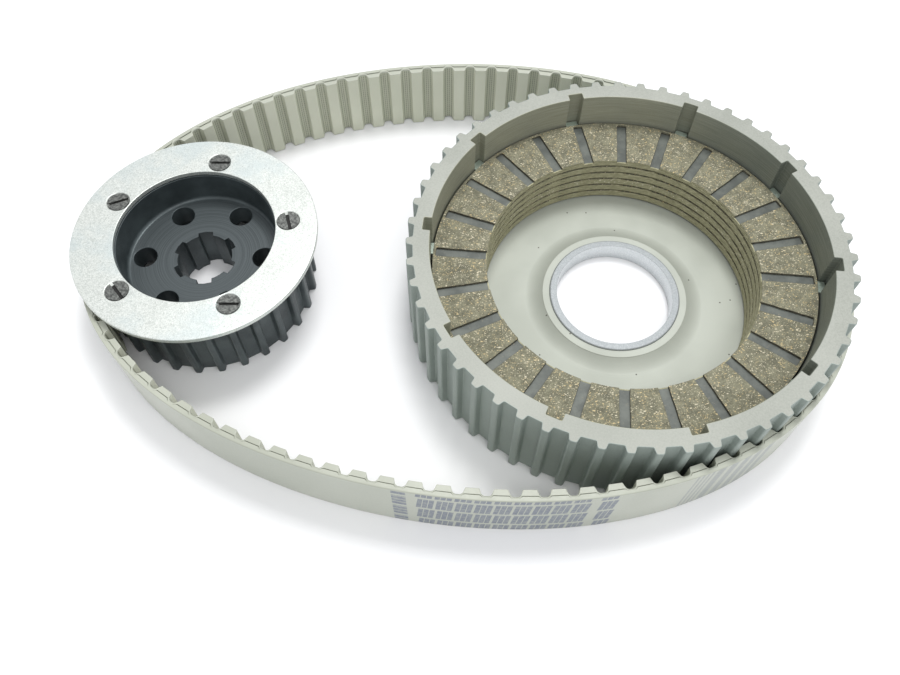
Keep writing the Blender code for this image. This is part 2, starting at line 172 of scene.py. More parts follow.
# How the slack belt lies, as in the CAD
BASKET_LEAVE = 33.1
DRIVE_MEET = 164.6
DRIVE_LEAVE = 178.6
BASKET_MEET = -48.6
TOP_HANDLES = (114.5, 103.5)
BOTTOM_HANDLES = (94.3, 105.1)
SLACK_RANGE = (0.9, 1.1)
LENGTH_TRIALS = 40
RUN_STEPS = 400
WRAP_STEP = 0.5
WAY_REACH = 0.8  # to either side of a point, for the belt's direction there
OVERLAP = 5  # points of the closed line repeated at each of its ends


def joint_axis(name):
    """Where a hinge stands, in millimetres."""
    joint = next(j for j in frame["joints"] if j["name"] == name)
    return np.array(joint["pos_m"][:2]) / MM


BASKET_AXIS = joint_axis("basket_spin")
DRIVE_AXIS = joint_axis("drive_spin")
BASKET_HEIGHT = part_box("clutch_basket")[1].z / MM


# ---- Outlines: arrays of points, anticlockwise ----

ROUND_SEGMENTS = 192
NEARLY_STRAIGHT = 89.0  # a corner's half angle above which it stays sharp


def polar(radius, angle):
    turn = math.radians(angle)
    return np.array((radius * math.cos(turn), radius * math.sin(turn)))


def across(radius, angle, side):
    """The point at this distance out along the angle, and this far to the left of that line."""
    out = polar(1.0, angle)
    return out * math.sqrt(radius**2 - side**2) + np.array((-out[1], out[0])) * side


def arc(radius, start, end, steps):
    return [polar(radius, start + (end - start) * k / steps) for k in range(steps + 1)]


def circle(radius, segments=ROUND_SEGMENTS, centre=(0.0, 0.0)):
    return np.array([polar(radius, 360.0 * k / segments) + centre for k in range(segments)])


def offset(outline, distance):
    """The outline moved outwards by this distance."""
    before = outline - np.roll(outline, 1, axis=0)
    after = np.roll(outline, -1, axis=0) - outline
    normals = []
    for way in (before, after):
        turned_out = np.stack([way[:, 1], -way[:, 0]], axis=1)
        normals.append(turned_out / np.linalg.norm(way, axis=1)[:, None])
    lean = (normals[0] * normals[1]).sum(axis=1)[:, None]
    return outline + distance * (normals[0] + normals[1]) / (1.0 + lean)


def rounded(corners, steps=4):
    """An outline through (point, radius) corners, with an arc at each corner whose radius isn't zero."""
    points = [np.array(point, float) for point, _ in corners]
    outline = []
    for k, (_, radius) in enumerate(corners):
        corner = points[k]
        back = points[k - 1] - corner
        ahead = points[(k + 1) % len(points)] - corner
        back /= np.linalg.norm(back)
        ahead /= np.linalg.norm(ahead)
        half = math.acos(max(-1.0, min(1.0, float(back @ ahead)))) / 2
        if radius == 0.0 or half > math.radians(NEARLY_STRAIGHT):
            outline.append(corner)
            continue
        reach = radius / math.tan(half)
        start = corner + back * reach
        end = corner + ahead * reach
        middle = corner + (back + ahead) / np.linalg.norm(back + ahead) * radius / math.sin(half)
        for i in range(steps + 1):
            share = i / steps
            spoke = (start - middle) * (1.0 - share) + (end - middle) * share
            outline.append(middle + spoke / np.linalg.norm(spoke) * radius)
    return np.array(outline)


def pitch_radius(teeth):
    return teeth * PITCH / (2.0 * math.pi)


def toothed_outline(teeth, first_angle):
    """A pulley's outline: grooves with round corners between teeth with well rounded tips."""
    tip = pitch_radius(teeth) - PITCH_LINE_DROP
    root = tip - GROOVE_DEPTH
    half_tip = math.pi * tip / teeth - GROOVE_MOUTH / 2
    half_root = math.pi * root / teeth - GROOVE_BOTTOM / 2
    corners = []
    for k in range(teeth):
        angle = first_angle + 360.0 * k / teeth
        corners.append((across(root, angle, -half_root), TOOTH_ROOT_ROUND))
        corners.append((across(tip, angle, -half_tip), TOOTH_TIP_ROUND))
        corners.append((across(tip, angle, half_tip), TOOTH_TIP_ROUND))
        corners.append((across(root, angle, half_root), TOOTH_ROOT_ROUND))
    return rounded(corners)


def tabbed_outline(radius, reach, width, first_angle, count, rounds, steps, crown=False):
    """A circle with tabs or slots out to the reach. rounds are the radii at their foot and their end."""
    foot_round, end_round = rounds
    corners = []
    step = 360.0 / count
    half = width / 2
    edge = math.degrees(math.asin(half / radius))
    for k in range(count):
        angle = first_angle + step * k
        corners.append((across(radius, angle, -half), foot_round))
        corners.append((across(reach, angle, -half), end_round))
        if crown:
            corners.append((polar(reach, angle), 0.0))
        corners.append((across(reach, angle, half), end_round))
        corners.append((across(radius, angle, half), foot_round))
        corners += [(point, 0.0) for point in arc(radius, angle + edge, angle + step - edge, steps)[1:-1]]
    return rounded(corners)


def lining_bore_outline(inner, draws):
    """The lining's inner edge: a slightly ragged arc for each pad, and a groove almost out to the rim."""
    corners = []
    step = 360.0 / LINING_PADS
    half = PAD_GROOVE / 2
    edge = math.degrees(math.asin(half / inner))
    groove_end = LINING_OUTER - LINING_RIM
    spots = np.linspace(inner, groove_end, RAGGED_SPOTS)[1:-1]
    for k in range(LINING_PADS):
        angle = LINING_ANGLE + step * k
        corners.append((across(inner, angle, -half), PAD_CORNER))
        corners += [(across(r, angle, -half + draws.uniform(-RAGGED, RAGGED)), 0.0) for r in spots]
        corners.append((across(groove_end, angle, -half), GROOVE_CORNER))
        corners.append((across(groove_end, angle, half), GROOVE_CORNER))
        corners += [(across(r, angle, half + draws.uniform(-RAGGED, RAGGED)), 0.0) for r in spots[::-1]]
        corners.append((across(inner, angle, half), PAD_CORNER))
        for point in arc(inner, angle + edge, angle + step - edge, PAD_STEPS)[1:-1]:
            corners.append((point * (1.0 + draws.uniform(0.0, RAGGED) / inner), 0.0))
    return rounded(corners)


# ---- Surfaces ----
SHARP_ABOVE = 40.0
ALL_TRIANGLES = 1
SAME_POINT = 0.0001


def row(shape, outline, height):
    return [shape.verts.new((x, y, height)) for x, y in outline]


def wall(shape, below, above, look=0):
    """Quads between two rows with the same number of points."""
    for k in range(len(below)):
        after = (k + 1) % len(below)
        face = shape.faces.new((below[k], below[after], above[after], above[k]))
        face.material_index = look


def stack(shape, rows, look=0):
    """Walls from each row to the next. Returns the first and the last row."""
    for below, above in zip(rows, rows[1:]):
        wall(shape, below, above, look)
    return rows[0], rows[-1]


def inside(points, loop):
    """Which of the points lie inside the loop, by counting the edges to their right."""
    x, y = points[:, 0, None], points[:, 1, None]
    x1, y1 = loop.T
    x2, y2 = np.roll(loop, -1, axis=0).T
    crosses = (y1 > y) != (y2 > y)
    rise = np.where(y2 == y1, 1.0, y2 - y1)
    return (crosses & (x < x1 + (y - y1) * (x2 - x1) / rise)).sum(axis=1) % 2 == 1


def cap(shape, rows, look=0):
    """Fills the flat face inside the first row and outside the others."""
    verts = [vert for loop in rows for vert in loop]
    spots = [vert.co.to_2d() for vert in verts]
    edges = []
    for loop in rows:
        first = len(edges)
        edges += [(first + k, first + (k + 1) % len(loop)) for k in range(len(loop))]
    triangles = geometry.delaunay_2d_cdt(spots, edges, [], ALL_TRIANGLES, SAME_POINT)
    sources = [source[0] for source in triangles[3]]
    corners = np.array([[sources[k] for k in triangle] for triangle in triangles[2]])
    middles = np.array(spots)[corners].mean(axis=1)
    loops = [np.array([vert.co.to_2d() for vert in loop]) for loop in rows]
    wanted = inside(middles, loops[0])
    for loop in loops[1:]:
        wanted &= ~inside(middles, loop)
    for triangle in corners[wanted]:
        face = shape.faces.new([verts[k] for k in triangle])
        face.material_index = look


def edge_steps(radius, steps=3):
    """(inwards, along) distances of a quarter-round edge, from its flat end face to its side."""
    if radius == NO_EDGE:
        return [(0.0, 0.0)]
    turns = [math.pi / 2 * k / steps for k in range(steps + 1)]
    return [(radius * (1.0 - math.sin(turn)), radius * (1.0 - math.cos(turn))) for turn in turns]


def side(shape, outline, low, high, low_edge, high_edge, look=0, hole=False):
    """A straight side with rounded edges. Returns its lowest and highest rows."""
    sign = 1.0 if hole else -1.0
    levels = [(inwards, low + up) for inwards, up in edge_steps(low_edge)]
    levels += [(inwards, high - down) for inwards, down in reversed(edge_steps(high_edge))]
    rows = [row(shape, offset(outline, sign * inwards), height) for inwards, height in levels]
    return stack(shape, rows, look)


def lathe(shape, profile, look=0, segments=ROUND_SEGMENTS):
    """A surface turned about Z from (radius, height) points. Returns its first and last rows."""
    return stack(shape, [row(shape, circle(radius, segments), height) for radius, height in profile], look)


def ring(shape, profile):
    """A whole turned ring from a closed profile."""
    rows = [row(shape, circle(radius), height) for radius, height in profile]
    stack(shape, rows + rows[:1])


def paint_bore(shape, radius, look):
    """Gives a look to the faces that lie wholly inside the radius."""
    for face in shape.faces:
        if max(vert.co.to_2d().length for vert in face.verts) < radius:
            face.material_index = look


def put(name, data, location, turn=(0.0, 0.0, 0.0)):
    """A new object in the scene, its place in metres."""
    obj = bpy.data.objects.new(name, data)
    obj.location = location
    obj.rotation_euler = turn
    bpy.context.scene.collection.objects.link(obj)
    return obj


def piece(name, shape, looks, body, replaced, axis=(0.0, 0.0), height=0.0, turn=0.0):
    """A riding object from a bmesh in millimetres that counts from the axis."""
    bmesh.ops.recalc_face_normals(shape, faces=shape.faces)
    bmesh.ops.scale(shape, vec=(MM, MM, MM), verts=shape.verts)
    mesh = bpy.data.meshes.new(name)
    shape.to_mesh(mesh)
    shape.free()
    mesh.shade_smooth()
    mesh.set_sharp_from_angle(angle=math.radians(SHARP_ABOVE))
    for look in looks:
        mesh.materials.append(look.material)
    obj = put(name, mesh, (axis[0] * MM, axis[1] * MM, height * MM), (0.0, 0.0, math.radians(turn)))
    even = obj.modifiers.new("even_normals", "WEIGHTED_NORMAL")
    even.keep_sharp = True
    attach(obj, body)
    if replaced:
        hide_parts(*replaced)


# ---- Materials ----
NOISE_LOW = 0.3  # nearly all of a noise's values lie between these two
NOISE_HIGH = 0.7


def tone(red, green, blue):
    """A linear colour from 0 to 255 display values."""
    channels = []
    for value in (red, green, blue):
        share = value / 255.0
        channels.append(share / 12.92 if share <= 0.04045 else ((share + 0.055) / 1.055) ** 2.4)
    return (*channels, 1.0)


class Look:
    """A Principled material with short ways to add nodes to it."""

    def __init__(self, name, metallic=0.0, roughness=0.5, specular=0.5):
        self.material = bpy.data.materials.new(name)
        self.material.use_nodes = True
        self.tree = self.material.node_tree
        self.shader = self.tree.nodes["Principled BSDF"]
        self.set(self.shader, "Metallic", metallic)
        self.set(self.shader, "Roughness", roughness)
        self.set(self.shader, "Specular IOR Level", specular)
        self.place = self.add("ShaderNodeTexCoord").outputs["Object"]

    def add(self, kind, inputs=(), **settings):
        """A new node, its inputs set from (socket, value) pairs or linked where a value is an output."""
        made = self.tree.nodes.new(kind)
        for name, value in settings.items():
            setattr(made, name, value)
        for socket, value in inputs:
            self.set(made, socket, value)
        return made

    def set(self, node, socket, value):
        """Gives a socket a value, or links it to another node's output."""
        if isinstance(value, bpy.types.NodeSocket):
            self.tree.links.new(value, node.inputs[socket])
        else:
            node.inputs[socket].default_value = value

    def math(self, operation, first, second=0.0):
        return self.add("ShaderNodeMath", ((0, first), (1, second)), operation=operation).outputs[0]

    def times(self, first, second):
        return self.math("MULTIPLY", first, second)

    def minus(self, first, second):
        return self.math("SUBTRACT", first, second)

    def stretched(self, scale, turn=0.0):
        """The object's coordinates turned about Z and scaled along each axis, per metre."""
        rotation = (0.0, 0.0, math.radians(turn))
        inputs = (("Vector", self.place), ("Rotation", rotation), ("Scale", scale))
        return self.add("ShaderNodeMapping", inputs).outputs[0]

    def noise(self, scale, detail=2.0, rough=0.5, where=None):
        inputs = (("Scale", scale), ("Detail", detail), ("Roughness", rough))
        return self.add("ShaderNodeTexNoise", (("Vector", where or self.place), *inputs)).outputs[0]

    def cells(self, where, dimensions="3D"):
        """(distance, random colour) of a Voronoi texture."""
        inputs = (("Vector", where), ("Scale", 1.0))
        made = self.add("ShaderNodeTexVoronoi", inputs, voronoi_dimensions=dimensions)
        return made.outputs["Distance"], made.outputs["Color"]

    def range(self, value, low, high, to_low, to_high):
        ends = (("From Min", low), ("From Max", high), ("To Min", to_low), ("To Max", to_high))
        return self.add("ShaderNodeMapRange", (("Value", value), *ends)).outputs[0]

    def between(self, value, low, high):
        """0 below low, 1 above high, and smooth between them."""
        inputs = (("Value", value), ("From Min", low), ("From Max", high))
        return self.add("ShaderNodeMapRange", inputs, interpolation_type="SMOOTHSTEP").outputs[0]

    def mix(self, share, first, second):
        inputs = ((0, share), (6, first), (7, second))
        return self.add("ShaderNodeMix", inputs, data_type="RGBA").outputs[2]

    def tones(self, pattern, low, high, first, second):
        """The first colour where the pattern is below low, the second above high."""
        return self.mix(self.between(pattern, low, high), first, second)

    def radius(self):
        """The distance from the object's own Z axis, in metres."""
        inputs = ((0, self.place), (1, (1.0, 1.0, 0.0)))
        flat = self.add("ShaderNodeVectorMath", inputs, operation="MULTIPLY").outputs[0]
        return self.add("ShaderNodeVectorMath", ((0, flat),), operation="LENGTH").outputs["Value"]

    def rings(self, per_metre, drift=8.0):
        """Noise that changes fast with the radius and slowly round it, like marks from a lathe."""
        outward = self.times(self.radius(), per_metre)
        around = self.times(self.noise(drift, 0.0), 2.0)
        where = self.add("ShaderNodeCombineXYZ", (("X", outward), ("Y", around)))
        return self.noise(1.0, 3.0, 0.7, where.outputs[0])

    def bump(self, pattern, strength, distance, under=None):
        """A normal that follows the pattern, over another normal if there is one."""
        inputs = [("Height", pattern), ("Strength", strength), ("Distance", distance)]
        if under:
            inputs.append(("Normal", under))
        return self.add("ShaderNodeBump", inputs).outputs[0]

    def loop_value(self, name):
        return self.add("ShaderNodeAttribute", attribute_name=name).outputs["Fac"]

    def strip(self, value, low, high):
        """1 between low and high, 0 outside."""
        above = self.math("GREATER_THAN", value, low)
        return self.times(above, self.math("LESS_THAN", value, high))

    def dashes(self, value, pitch, width):
        """1 over the first part of each pitch, 0 over the rest."""
        return self.math("LESS_THAN", self.math("FLOORED_MODULO", value, pitch), width)

    def bars(self, value, start, end, pitch, width):
        """Dashes from the start to the end, 0 outside."""
        dashes = self.dashes(self.minus(value, start), pitch, width)
        return self.times(dashes, self.strip(value, start, end))

    def colour(self, value):
        self.set(self.shader, "Base Color", value)

    def gloss(self, pattern, at_low, at_high, low=NOISE_LOW, high=NOISE_HIGH):
        """The roughness, from the pattern."""
        self.set(self.shader, "Roughness", self.range(pattern, low, high, at_low, at_high))

    def relief(self, pattern, strength, distance, under=None):
        self.set(self.shader, "Normal", self.bump(pattern, strength, distance, under))


def sandy(name, light, dark, roughness, metallic, grain=2600.0, strength=0.25):
    """Anodised aluminium: a fine sandy grain over slow cloudy patches."""
    look = Look(name, metallic)
    fine = look.noise(grain, 2.0, 0.6)
    slow = look.noise(28.0, 3.0, 0.55)
    both = look.math("ADD", look.times(fine, 0.6), look.times(slow, 0.5))
    look.colour(look.tones(both, 0.3, 0.8, dark, light))
    look.gloss(fine, roughness - 0.08, roughness + 0.1)
    look.relief(fine, strength, 0.00004)
    return look


def basket_face_look():
    light = tone(164, 166, 158)
    return sandy("basket_rim_face", light, tone(140, 143, 135), 0.62, 0.2, 1500.0, 0.4)


def basket_flank_look():
    return sandy("basket_tooth_flanks", tone(150, 160, 154), tone(130, 140, 134), 0.5, 0.3, 1800.0)


# Painted shade on the inner wall: between these two values the wall blends into its darker, greyer +X side.
PAINTED_SHADE_FROM = 0.005  # metres along X from the basket's axis
PAINTED_SHADE_TO = 0.065


def basket_wall_look():
    """The turned inner wall: fine marks round it, olive from lining dust over the half towards -X, and
    painted shade making it darker and greyer over the half towards +X.
    """
    look = Look("basket_inner_wall", 0.35)
    marks = look.noise(1.0, 4.0, 0.7, look.stretched((60.0, 60.0, 5200.0)))
    grain = look.noise(2600.0, 1.0)
    streak = look.between(marks, 0.3, 0.7)
    olive_dusty_side = look.mix(streak, tone(138, 140, 124), tone(168, 169, 152))
    painted_shade_side = look.mix(streak, tone(110, 116, 107), tone(138, 143, 133))
    place = look.add("ShaderNodeSeparateXYZ", (("Vector", look.place),))
    # Painted shade: the wall's colour blends to the darker, greyer tone over its +X half.
    look.colour(look.mix(look.between(place.outputs["X"], PAINTED_SHADE_FROM, PAINTED_SHADE_TO), olive_dusty_side, painted_shade_side))
    look.gloss(grain, 0.45, 0.62)
    look.relief(marks, 0.35, 0.00003)
    return look


def basket_floor_look():
    """The smooth floor and boss: painted shade darkening the fillet towards the boss, a few dark specks and
    faint turning marks.
    """
    look = Look("basket_floor", 0.1)
    slow = look.noise(35.0, 3.0)
    base = look.tones(slow, 0.3, 0.7, tone(162, 166, 156), tone(174, 178, 168))
    radius = look.radius()
    # Painted shade: the base colour darkens over the fillet towards the boss's foot.
    painted_fillet_shade = look.between(radius, (BOSS_RADIUS + FILLET_REACH) * MM, BOSS_RADIUS * MM)
    painted_fillet_shade = look.times(painted_fillet_shade, look.math("GREATER_THAN", radius, BOSS_RADIUS * MM))
    base = look.mix(look.times(painted_fillet_shade, 0.27), base, tone(118, 122, 112))
    distance, random_colour = look.cells(look.stretched((110.0, 110.0, 0.0)), "2D")
    picked = look.math("GREATER_THAN", random_colour, 0.72)
    speck = look.times(look.math("LESS_THAN", distance, 0.035), picked)
    look.colour(look.mix(speck, base, tone(72, 70, 62)))
    rings = look.rings(3500.0)
    look.gloss(rings, 0.48, 0.62)
    look.relief(rings, 0.12, 0.00002)
    return look


def basket_back_look():
    look = sandy("basket_rear_face", tone(176, 180, 171), tone(158, 163, 155), 0.5, 0.35)
    look.relief(look.rings(2600.0), 0.25, 0.00003)
    return look


def sleeve_look(name, dark, light, metallic, low_roughness, high_roughness):
    """Ground bearing steel with fine speckle and marks round the ring."""
    look = Look(name, metallic)
    rings = look.rings(7000.0)
    speck = look.noise(1900.0, 3.0, 0.7)
    look.colour(look.tones(speck, 0.35, 0.75, dark, light))
    look.gloss(rings, low_roughness, high_roughness)
    look.relief(rings, 0.2, 0.00002)
    return look


FLECK_RISE = 500.0  # the flecks' scale along Z, per metre
# (turn, length, width, share left out)
FLECK_LAYERS = (
    (20.0, 1.3, 0.6, 0.8),
    (-50.0, 1.1, 0.55, 0.82),
    (80.0, 1.8, 0.7, 0.87),
    (-10.0, 0.75, 0.45, 0.72),
    (35.0, 0.5, 0.35, 0.7),
)


def lining_look():
    """Pressed friction fibre: grey-brown, with gold and white flecks lying in every direction."""
    look = Look("lining_fibre")
    coarse = look.noise(240.0, 5.0, 0.65)
    fine = look.noise(1500.0, 4.0, 0.7)
    base = look.tones(coarse, 0.32, 0.68, tone(94, 93, 77), tone(124, 122, 101))
    base = look.tones(fine, 0.5, 0.75, base, tone(150, 147, 125))
    base = look.tones(fine, 0.42, 0.28, base, tone(76, 73, 60))
    flecks = None
    for turn, length, width, left_out in FLECK_LAYERS:
        where = look.stretched((1.0 / (length * MM), 1.0 / (width * MM), FLECK_RISE), turn)
        distance, random_colour = look.cells(where)
        picked = look.math("GREATER_THAN", random_colour, left_out)
        spot = look.times(look.between(distance, 0.42, 0.2), picked)
        flecks = spot if flecks is None else look.math("MAXIMUM", flecks, spot)
    pale = look.tones(look.noise(420.0, 1.0), 0.4, 0.6, tone(208, 184, 130), tone(224, 214, 186))
    look.colour(look.mix(look.times(flecks, 0.78), base, pale))
    look.gloss(flecks, 0.85, 0.45, 0.0, 1.0)
    look.relief(flecks, 0.4, 0.00006, look.bump(fine, 0.6, 0.0001))
    return look


def lining_edge_look(name="lining_bore_edge", dust=0.0):
    """The linings' cut inner edge: khaki, streaked along the plate, with a little dust on one plate."""
    look = Look(name, roughness=0.75)
    streaks = look.noise(1.0, 4.0, 0.7, look.stretched((420.0, 420.0, 2600.0)))
    base = look.tones(streaks, 0.3, 0.72, tone(122, 120, 92), tone(176, 172, 140))
    if dust:
        grains = look.between(look.noise(900.0, 4.0, 0.8), 0.56, 0.66)
        base = look.mix(look.times(grains, dust), base, tone(222, 216, 196))
    look.colour(base)
    look.relief(streaks, 0.5, 0.00008)
    return look


def lining_side_shade_look():
    """The linings' sides, down in the seams and grooves, in a darker colour that is painted shade for the
    shade that falls there.
    """
    look = Look("lining_side_painted_shade", roughness=0.9)
    grain = look.noise(900.0, 4.0, 0.7)
    # Painted shade: dark tones for the shade down in the seams and grooves.
    look.colour(look.tones(grain, 0.35, 0.7, tone(62, 60, 50), tone(108, 104, 86)))
    look.relief(grain, 0.4, 0.00008)
    return look


def core_look():
    """The plate's core where it shows in the pads' grooves: slate, with a little fibre dust."""
    look = Look("plate_core_slate", 0.2, 0.55)
    slow = look.noise(160.0, 4.0, 0.6)
    dust = look.between(look.noise(800.0, 4.0, 0.75), 0.6, 0.74)
    base = look.tones(slow, 0.3, 0.7, tone(76, 80, 76), tone(100, 104, 98))
    look.colour(look.mix(look.times(dust, 0.5), base, tone(150, 138, 112)))
    look.relief(slow, 0.2, 0.00004)
    return look


def tab_look():
    return sandy("plate_core_tab", tone(168, 180, 168), tone(146, 159, 147), 0.4, 0.5, 1500.0)


def pulley_look():
    """Black hard anodising with a soft satin sheen and a few lighter rubbed places."""
    look = Look("pulley_black_anodised", 0.35)
    fine = look.noise(2200.0, 2.0)
    slow = look.noise(60.0, 4.0, 0.6)
    look.colour(look.tones(slow, 0.35, 0.7, tone(55, 63, 65), tone(76, 85, 87)))
    look.gloss(fine, 0.32, 0.5)
    look.relief(fine, 0.2, 0.00003)
    return look


def web_look():
    """The turned web inside the cup, with the lathe's marks round the spline."""
    look = Look("pulley_turned_web", 0.4)
    rings = look.rings(2400.0, 14.0)
    fine = look.rings(9000.0, 14.0)
    both = look.math("ADD", look.times(rings, 0.6), look.times(fine, 0.4))
    look.colour(look.tones(both, 0.34, 0.66, tone(58, 65, 67), tone(86, 93, 95)))
    look.gloss(fine, 0.3, 0.5)
    look.relief(rings, 0.4, 0.00004)
    return look


def flange_look():
    """Bright zinc plating: faint crystal grain, slow bluish clouds and dark pin-pricks."""
    look = Look("flange_zinc", 0.75)
    grain = look.noise(1900.0, 4.0, 0.8)
    slow = look.noise(34.0, 5.0, 0.65)
    base = look.tones(grain, 0.36, 0.64, tone(192, 197, 191), tone(230, 233, 228))
    base = look.mix(look.times(look.between(slow, 0.45, 0.65), 0.5), base, tone(182, 194, 196))
    prick = look.between(look.noise(1300.0, 5.0, 0.85), 0.6, 0.66)
    look.colour(look.mix(look.times(prick, 0.75), base, tone(104, 108, 104)))
    look.gloss(slow, 0.32, 0.48)
    look.relief(grain, 0.25, 0.00004)
    return look


def screw_look():
    look = Look("screw_steel", 0.7)
    scuffs = look.noise(900.0, 4.0, 0.7)
    look.colour(look.tones(scuffs, 0.38, 0.66, tone(78, 80, 78), tone(128, 130, 126)))
    look.gloss(scuffs, 0.28, 0.5)
    look.relief(scuffs, 0.5, 0.00008)
    return look


def screw_slot_look():
    return sandy("screw_slot_floor", tone(46, 46, 44), tone(24, 24, 23), 0.6, 0.4)


def belt_skin_look(name, dark, light):
    """Satin moulded polyurethane. Returns the look and its base colour."""
    look = Look(name, specular=0.45)
    slow = look.noise(22.0, 3.0)
    fine = look.noise(1700.0, 2.0)
    base = look.tones(slow, 0.3, 0.7, dark, light)
    look.colour(base)
    look.gloss(fine, 0.38, 0.5)
    look.relief(fine, 0.12, 0.00003)
    return look, base


def belt_edge_look():
    return belt_skin_look("belt_edges", tone(160, 163, 150), tone(170, 173, 160))[0]


# The cords' lines, as (distance from a gap's middle, half width, strength)
CORD_LINES = ((0.42, 0.25, 0.8), (1.5, 0.25, 0.7))
CORD_PITCH = 1.3


def belt_teeth_look():
    """The toothed side, with the marks of the cords down in the gaps."""
    look, base = belt_skin_look("belt_teeth", tone(190, 193, 174), tone(202, 204, 186))
    gap = look.loop_value("gap_across")
    base = look.tones(gap, 2.0, 1.4, base, tone(178, 181, 162))
    wave = look.math("SINE", look.times(look.loop_value("height"), 2.0 * math.pi / CORD_PITCH))
    broken = look.math("ADD", wave, look.range(look.noise(500.0, 1.0), 0.0, 1.0, -0.9, 1.3))
    dash = look.range(look.between(broken, -0.35, 0.1), 0.0, 1.0, 0.45, 1.0)
    for middle, reach, share in CORD_LINES:
        off_line = look.math("ABSOLUTE", look.minus(gap, middle))
        line = look.times(look.between(off_line, reach, 0.4 * reach), share)
        base = look.mix(look.times(line, dash), base, tone(104, 108, 94))
    look.colour(base)
    return look


# The marks on the belt's back, in millimetres along it and up it
PRINT_START = 577.0
PRINT_ROW = 7.2
PRINT_ROW_PITCH = 10.75
PRINT_ROW_HEIGHT = 9.2
PRINT_SLANT = 0.1
GLYPH_START = 585.5
GLYPH_PITCH = 6.8
GLYPH_WIDTH = 5.85
GLYPH_COUNT = 9
LAST_GLYPH = 9.4
STROKE_WIDTH = 1.75
STROKE_PITCH = 2.05
BLOCK_WIDTH = 5.2
BLOCK_PITCH = 2.9
BLOCK_BAR = 2.4
STRIPES = ((683.0, 1.9, 0.9, 4), (691.0, 5.2, 3.2, 5))  # (start, pitch, width, count)
STRIPE_SLANT = 0.03
STRIPE_INK = 0.5


def belt_back_look():
    """The outer side, with worn grey marks: rows of plain slanted strokes, then a patch of stripes."""
    look, base = belt_skin_look("belt_back", tone(170, 174, 162), tone(182, 185, 174))
    along = look.loop_value("along")
    rise = look.loop_value("height")
    row_rise = look.math("FLOORED_MODULO", look.minus(rise, PRINT_ROW), PRINT_ROW_PITCH)
    in_row = look.math("LESS_THAN", row_rise, PRINT_ROW_HEIGHT)
    leaning = look.minus(along, look.times(row_rise, PRINT_SLANT))
    from_start = look.minus(leaning, GLYPH_START)
    spot = look.math("FLOORED_MODULO", from_start, GLYPH_PITCH)
    strokes = look.dashes(spot, STROKE_PITCH, STROKE_WIDTH)
    strokes = look.times(strokes, look.math("LESS_THAN", spot, GLYPH_WIDTH))
    row_end = GLYPH_START + GLYPH_COUNT * GLYPH_PITCH
    strokes = look.times(strokes, look.strip(leaning, GLYPH_START, row_end))
    last_start = GLYPH_START + LAST_GLYPH * GLYPH_PITCH
    last = look.bars(leaning, last_start, last_start + GLYPH_WIDTH, STROKE_PITCH, STROKE_WIDTH)
    block = look.dashes(row_rise, BLOCK_PITCH, BLOCK_BAR)
    block = look.times(block, look.strip(along, PRINT_START, PRINT_START + BLOCK_WIDTH))
    words = look.math("MAXIMUM", look.math("MAXIMUM", strokes, last), block)
    ink = look.times(words, in_row)
    leaning = look.minus(along, look.times(rise, STRIPE_SLANT))
    for start, pitch, width, count in STRIPES:
        stripes = look.bars(leaning, start, start + count * pitch, pitch, width)
        ink = look.math("MAXIMUM", ink, look.times(stripes, STRIPE_INK))
    worn = look.range(look.noise(700.0, 4.0, 0.7), 0.35, 0.6, 0.6, 1.0)
    look.colour(look.mix(look.times(ink, worn), base, tone(110, 117, 129)))
    return look


# ---- The belt's path, as in the CAD ----

def free_run(start, start_angle, end, end_angle, handles):
    """A slack run between two points where the belt leaves and meets a pulley, at these angles."""
    start_way = polar(1.0, start_angle + 90.0)
    end_way = polar(1.0, end_angle + 90.0)
    t = np.linspace(0.0, 1.0, RUN_STEPS + 1)[:, None]
    u = 1.0 - t
    knee_1 = start + start_way * handles[0]
    knee_2 = end - end_way * handles[1]
    return start * u**3 + knee_1 * 3 * u * u * t + knee_2 * 3 * u * t * t + end * t**3


def wrap(radius, centre, start_angle, end_angle):
    turns = np.radians(np.arange(start_angle, end_angle, WRAP_STEP))
    turns = np.append(turns, math.radians(end_angle))
    return np.array(centre) + radius * np.stack([np.cos(turns), np.sin(turns)], axis=1)


def pitch_line(slack):
    """The closed pitch line, anticlockwise from a basket tooth. slack scales both free runs' handles."""
    basket = pitch_radius(BASKET_TEETH)
    drive = pitch_radius(DRIVE_TEETH)
    centre = DRIVE_AXIS - BASKET_AXIS
    off = polar(basket, BASKET_LEAVE)
    onto = centre + polar(drive, DRIVE_MEET)
    top = free_run(off, BASKET_LEAVE, onto, DRIVE_MEET, [slack * reach for reach in TOP_HANDLES])
    off = centre + polar(drive, DRIVE_LEAVE)
    onto = polar(basket, BASKET_MEET)
    bottom = free_run(off, DRIVE_LEAVE, onto, BASKET_MEET, [slack * reach for reach in BOTTOM_HANDLES])
    return np.concatenate(
        [
            wrap(basket, (0.0, 0.0), BASKET_TOOTH_ANGLE, BASKET_LEAVE),
            top[1:],
            wrap(drive, centre, DRIVE_MEET, DRIVE_LEAVE)[1:],
            bottom[1:],
            wrap(basket, (0.0, 0.0), BASKET_MEET, BASKET_TOOTH_ANGLE)[1:],
        ]
    )


def distances(line):
    return np.concatenate([[0.0], np.cumsum(np.linalg.norm(np.diff(line, axis=0), axis=1))])


